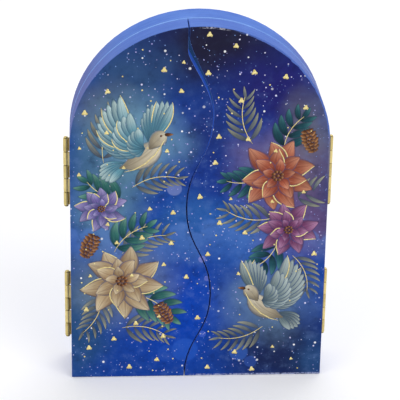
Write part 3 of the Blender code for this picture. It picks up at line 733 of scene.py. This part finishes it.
def split_x(z):
    """Where the S-shaped cut lies at a height, as if its upper end didn't gape."""
    for index, (low, high) in enumerate(zip(SPLIT_TURNS, SPLIT_TURNS[1:])):
        if z <= high:
            swing = SPLIT_SWAY if index % 2 else -SPLIT_SWAY
            return swing * math.cos(math.pi * max(z - low, 0) / (high - low))
    return -SPLIT_SWAY


def door_at(spot):
    return "left_door" if spot.x < split_x(spot.y) else "right_door"


def on_print(spot, margin):
    """True if a place is inside a door's sheet by at least margin."""
    if spot.y < margin or abs(spot.x - split_x(spot.y)) < margin:
        return False
    above = max(spot.y - SPRING_HEIGHT, 0)
    return (spot.x / (HALF_WIDTH - margin)) ** 2 + (above / (ARCH_RISE - margin)) ** 2 < 1


def star_places():
    """The CAD model's own places of the stars: spaced out and clear of the blossoms, doves and cones."""
    chance = random.Random(STAR_SEED)
    discs = []
    for rows in PRINTED.values():
        for motif, ink, width_share, height_share, size, turn in rows:
            if motif in ("blossom", "dove", "cone"):
                discs.append((print_place(width_share, height_share), size * MM))
    places = []
    for attempt in range(STAR_TRIES):
        spot = Vector((chance.uniform(-1, 1) * HALF_WIDTH, chance.uniform(0, 1) * HEIGHT))
        free = all((spot - other).length > STAR_SPACING for other in places)
        clear = all((spot - middle).length > radius + 2 * STAR_SIZE for middle, radius in discs)
        if on_print(spot, STAR_MARGIN) and free and clear:
            places.append(spot)
        if len(places) == STARS:
            break
    return places


def star_rows(rnd, spot, radius):
    """A foil star stamped as an uneven three-pointed fleck, its tallest point upwards."""
    turn = math.pi / 2 + rnd.uniform(-0.15, 0.15)
    rim = []
    sides = 15
    for index in range(sides):
        angle = turn + 2 * math.pi * index / sides
        point = abs(math.cos(1.5 * (angle - turn)))
        reach = radius * (0.52 + 0.5 * point ** 1.6) * rnd.uniform(0.9, 1.08)
        rim.append(spot + Vector((math.cos(angle), math.sin(angle))) * reach)
    rim.append(rim[0])
    return [[spot.copy() for point in rim], rim]


def disc_rows(rnd, spot, radius, sides=10):
    """A small round fleck of foil."""
    rim = [spot + Vector(polar((0, 0), radius, 360 * index / sides)) for index in range(sides + 1)]
    return [[spot.copy() for point in rim], rim]


# Shape, radius, spacing and number of the smaller gold flecks
MORE_STARS = ((star_rows, 1.25 * MM, 11 * MM, 20), (disc_rows, 0.45 * MM, 6 * MM, 60))


def stamp_stars(foils, rnd):
    """The gold stars, a few more of them over the motifs, and small round flecks all over both doors."""
    taken = star_places()
    for spot in taken:
        foils[door_at(spot)].patch(star_rows(rnd, spot, STAR_SIZE * rnd.uniform(1.0, 1.15)))
    for make_rows, radius, spacing, wanted in MORE_STARS:
        made = 0
        for attempt in range(STAR_TRIES):
            spot = Vector((rnd.uniform(-1, 1) * HALF_WIDTH, rnd.uniform(0, 1) * HEIGHT))
            if on_print(spot, STAR_MARGIN) and all((spot - other).length > spacing for other in taken):
                taken.append(spot)
                foils[door_at(spot)].patch(make_rows(rnd, spot, radius * rnd.uniform(0.8, 1.15)))
                made += 1
            if made == wanted:
                break


# Printing

# Ink colours at the root, middle and tip of a petal
INK_COLOURS = {
    "cream": (srgb(128, 118, 100), srgb(196, 184, 158), srgb(232, 222, 198)),
    "pale_teal": (srgb(50, 94, 116), srgb(100, 154, 172), srgb(190, 214, 212)),
    "grey_wing": (srgb(62, 80, 94), srgb(112, 130, 134), srgb(176, 190, 188)),
    "grey_beige": (srgb(66, 78, 98), srgb(116, 122, 120), srgb(166, 164, 140)),
    "sea_green": (srgb(20, 62, 70), srgb(52, 110, 104), srgb(112, 160, 144)),
    "deep_leaf": (srgb(18, 46, 58), srgb(32, 80, 92), srgb(72, 128, 134)),
    "beige": (srgb(112, 74, 50), srgb(180, 154, 118), srgb(222, 204, 170)),
    "terracotta": (srgb(98, 42, 34), srgb(162, 84, 62), srgb(212, 146, 116)),
    "mauve": (srgb(70, 30, 64), srgb(124, 68, 110), srgb(182, 132, 170)),
    "lilac": (srgb(64, 54, 108), srgb(112, 100, 162), srgb(172, 164, 212)),
    "brown": (srgb(48, 26, 18), srgb(112, 66, 38), srgb(188, 136, 88)),
}


def print_door(door, materials, foil, rnd):
    """Every motif of one door, in the order of printing."""
    inks = {}
    for name, material in materials.items():
        inks[name] = Ink(f"{door}_{name}_ink", door, material, foil.stack)
    for motif, ink, width_share, height_share, size, turn in PRINTED[door]:
        hand = -1 if motif == "dove" and door == "right_door" else 1
        scale = {"dove": size / DOVE_SIZE, "frond": 1.0, "sprig": 1.0}.get(motif, size)
        place = Place(width_share, height_share, turn, scale, hand)
        if motif == "frond":
            sprig(inks[ink], foil, place, size, FROND_PAIRS, LEAF_SHARE * size, FROND_SLENDER)
        elif motif == "sprig":
            sprig(inks[ink], foil, place, SPRIG_SHARE * size, SPRIG_PAIRS, LEAF_SHARE * size)
        elif motif == "cone":
            cone(inks[ink], place)
        elif motif == "blossom":
            blossom(inks[ink], inks["brown"], foil, place, rnd)
        else:
            dove(inks, ink, foil, place)
    return [ink for ink in inks.values() if ink.bm.faces]


def print_motifs():
    rnd = random.Random(MOTIF_SEED)
    gold = make_gold_foil()
    foils = {door: Foil(door + "_gold_foil", door, gold, Stack()) for door in PRINTED}
    materials = {name: make_ink(name, *colours) for name, colours in INK_COLOURS.items()}
    pieces = []
    for door, foil in foils.items():
        pieces += print_door(door, materials, foil, rnd)
    stamp_stars(foils, rnd)
    for piece in pieces + list(foils.values()):
        piece.finish()


# Stage

def make_floor():
    """Pale floor that keeps the object's soft shadow and is nearly white to the camera."""
    mesh = bpy.data.meshes.new("floor")
    bm = bmesh.new()
    bmesh.ops.create_grid(bm, x_segments=1, y_segments=1, size=FLOOR_REACH)
    bm.to_mesh(mesh)
    bm.free()
    floor = bpy.data.objects.new("floor", mesh)
    bpy.context.scene.collection.objects.link(floor)
    material = bpy.data.materials.new("pale_floor")
    material.use_nodes = True
    graph = Graph(material.node_tree)
    shader = material.node_tree.nodes["Principled BSDF"]
    shader.inputs["Base Color"].default_value = FLOOR_COLOUR
    shader.inputs["Roughness"].default_value = 0.9
    strength = graph.math("MULTIPLY", seen_directly(graph), FLOOR_LIFT)
    lift = graph.add("Emission", {"Color": (1, 1, 1, 1), "Strength": strength})
    both = graph.add("AddShader")
    graph.feed(both.inputs[0], shader.outputs[0])
    graph.feed(both.inputs[1], lift.outputs[0])
    graph.feed(material.node_tree.nodes["Material Output"].inputs["Surface"], both.outputs[0])
    mesh.materials.append(material)


def seen_directly(graph):
    """1 for rays from the camera and from gloss or glass, 0 for the light that falls on things."""
    rays = graph.add("LightPath").outputs
    mirrored = graph.math("MAXIMUM", rays["Is Glossy Ray"], rays["Is Transmission Ray"])
    return graph.math("MAXIMUM", rays["Is Camera Ray"], mirrored)


def make_world():
    world = bpy.data.worlds.new("studio")
    bpy.context.scene.world = world
    world.use_nodes = True
    graph = Graph(world.node_tree)
    world.node_tree.nodes.clear()
    light = graph.add("Background", {"Color": (1, 1, 1, 1), "Strength": AMBIENT})
    white = graph.add("Background", {"Color": (1, 1, 1, 1), "Strength": 1.0})
    either = graph.add("MixShader", {"Fac": seen_directly(graph)})
    graph.feed(either.inputs[1], light.outputs[0])
    graph.feed(either.inputs[2], white.outputs[0])
    output = graph.add("OutputWorld")
    graph.feed(output.inputs["Surface"], either.outputs[0])


def make_light(name, place, size, energy):
    """Soft square lamp aimed at the middle of the object."""
    data = bpy.data.lights.new(name, "AREA")
    data.shape = "SQUARE"
    data.size = size
    data.energy = energy
    lamp = bpy.data.objects.new(name, data)
    bpy.context.scene.collection.objects.link(lamp)
    lamp.location = place
    aim = Vector(place) - Vector((0, 0, HEIGHT / 2))
    lamp.rotation_euler = aim.to_track_quat("Z", "Y").to_euler()


def make_camera():
    azimuth = math.radians(CAMERA_AZIMUTH)
    elevation = math.radians(CAMERA_ELEVATION)
    roll = math.radians(CAMERA_ROLL)
    level = math.cos(elevation)
    back = Vector((math.sin(azimuth) * level, -math.cos(azimuth) * level, math.sin(elevation)))
    right = (-back).cross(Vector((0, 0, 1))).normalized()
    up = right.cross(-back)
    tilted_right = math.cos(roll) * right + math.sin(roll) * up
    tilted_up = -math.sin(roll) * right + math.cos(roll) * up
    data = bpy.data.cameras.new("camera")
    data.lens = CAMERA_LENS
    data.sensor_width = SENSOR_WIDTH
    camera = bpy.data.objects.new("camera", data)
    bpy.context.scene.collection.objects.link(camera)
    turn = Matrix((tilted_right, tilted_up, back)).transposed().to_4x4()
    camera.matrix_world = Matrix.Translation(CAMERA_TARGET + back * CAMERA_DISTANCE) @ turn
    bpy.context.scene.camera = camera


def dress_nodes():
    """Give every CAD node the finish of its slot in the record; the door leaves get a paler brass, painted
    light on their knuckles.
    """
    finishes = {
        "blue_paint": make_blue_paint(),
        "night_sky_print": make_printed_sheet(),
        "hinge_brass": make_brass("hinge_brass_finish", *HINGE_BRASS),
        "nail_brass": make_brass("nail_brass_finish", *NAIL_BRASS),
    }
    lit_door_leaf_finish = make_brass("lit_door_leaf_finish", *LIT_DOOR_LEAF_BRASS)
    for subpart in frame["record"]["subparts"]:
        name = subpart["node"]
        node = frame["nodes"][name]
        node.data.materials.clear()
        finish = lit_door_leaf_finish if name.endswith("door_leaf") else finishes[subpart["material_slot"]]
        node.data.materials.append(finish)


make_night_sky()
dress_nodes()
print_motifs()
make_floor()
make_world()
make_light("key", *KEY)
make_light("fill", *FILL)
make_light("back_light", *BACK_LIGHT)
make_camera()
bpy.context.scene.view_settings.view_transform = "Standard"
